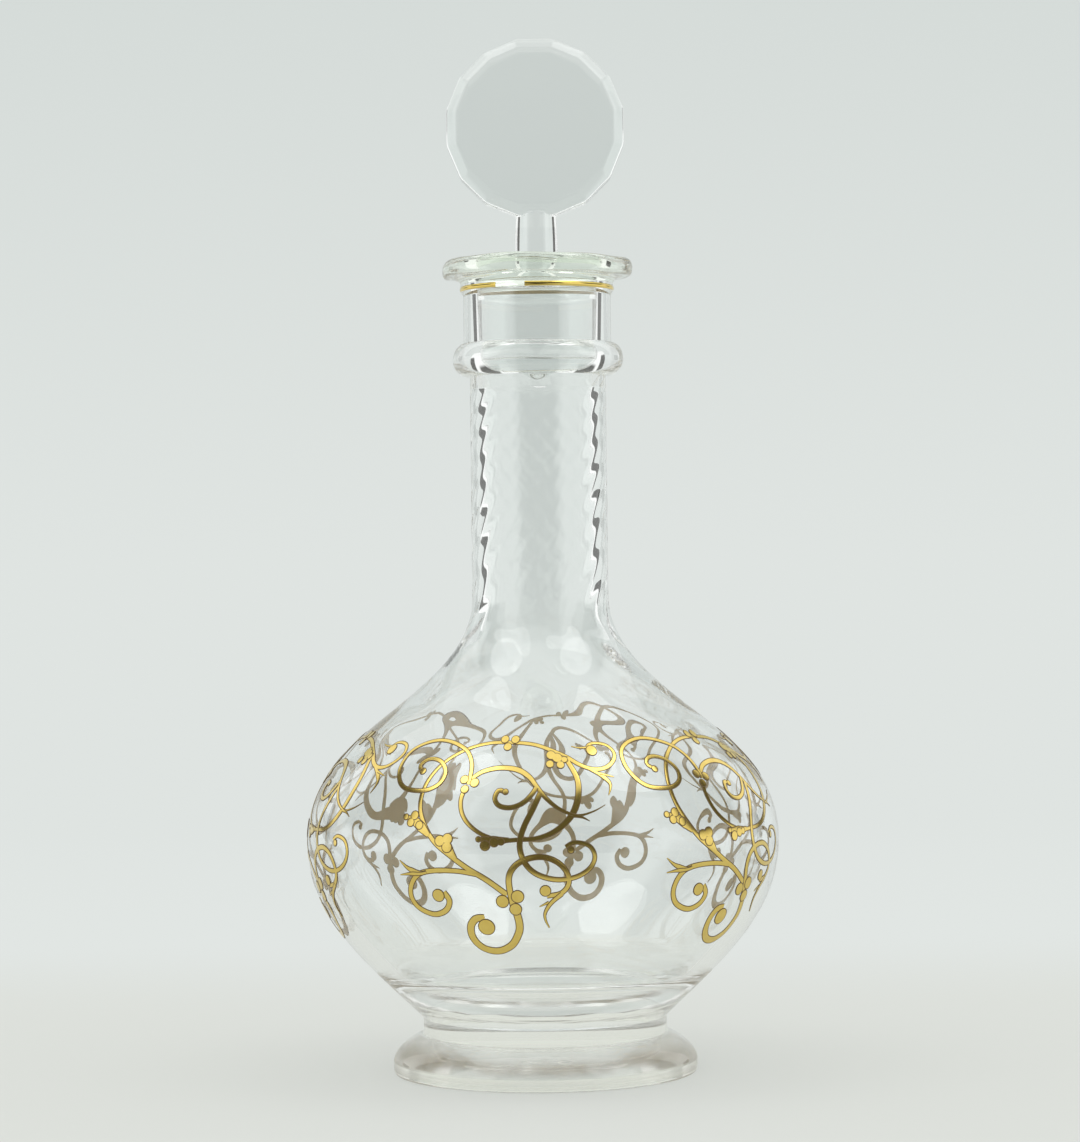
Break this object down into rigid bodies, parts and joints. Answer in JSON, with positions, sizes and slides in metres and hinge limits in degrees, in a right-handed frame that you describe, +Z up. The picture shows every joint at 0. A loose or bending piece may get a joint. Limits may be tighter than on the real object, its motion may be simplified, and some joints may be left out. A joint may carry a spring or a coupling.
{
  "type": "crystal carafe",
  "caption": "Stoppered crystal wine carafe: round bulb on a foot, twisted ribbed neck with ring and flared lip, disc stopper and gilt scrollwork.",
  "frame": {"origin": "centre of the foot on the surface that it stands on", "axes": "+Z up the axis of the carafe, -Y towards the front scroll and the face of the stopper's disc"},
  "size_m": [0.1382, 0.1384, 0.2999],
  "materials": {
    "clear_glass": "clear blown crystal, fire polished",
    "lip_glass": "clear crystal, faintly green where it is thick",
    "stopper_glass": "solid clear crystal, cut and polished",
    "gilding": "fired gold, burnished"
  },
  "bodies": {
    "carafe": {"foot": "clear_glass", "carafe_body": "clear_glass", "neck_ring": "clear_glass", "lip_rim": "lip_glass", "gilt_neck_line": "gilding", "gilt_scroll_1": "gilding", "gilt_scroll_2": "gilding", "gilt_scroll_3": "gilding", "gilt_scroll_4": "gilding", "gilt_scroll_5": "gilding", "gilt_scroll_6": "gilding"},
    "stopper": {"stopper": "stopper_glass"}
  },
  "joints": [
    {"name": "stopper_lift", "type": "slide", "parent": "carafe", "child": "stopper", "axis": [0, 0, 1], "range_m": [0, 0.08]}
  ]
}
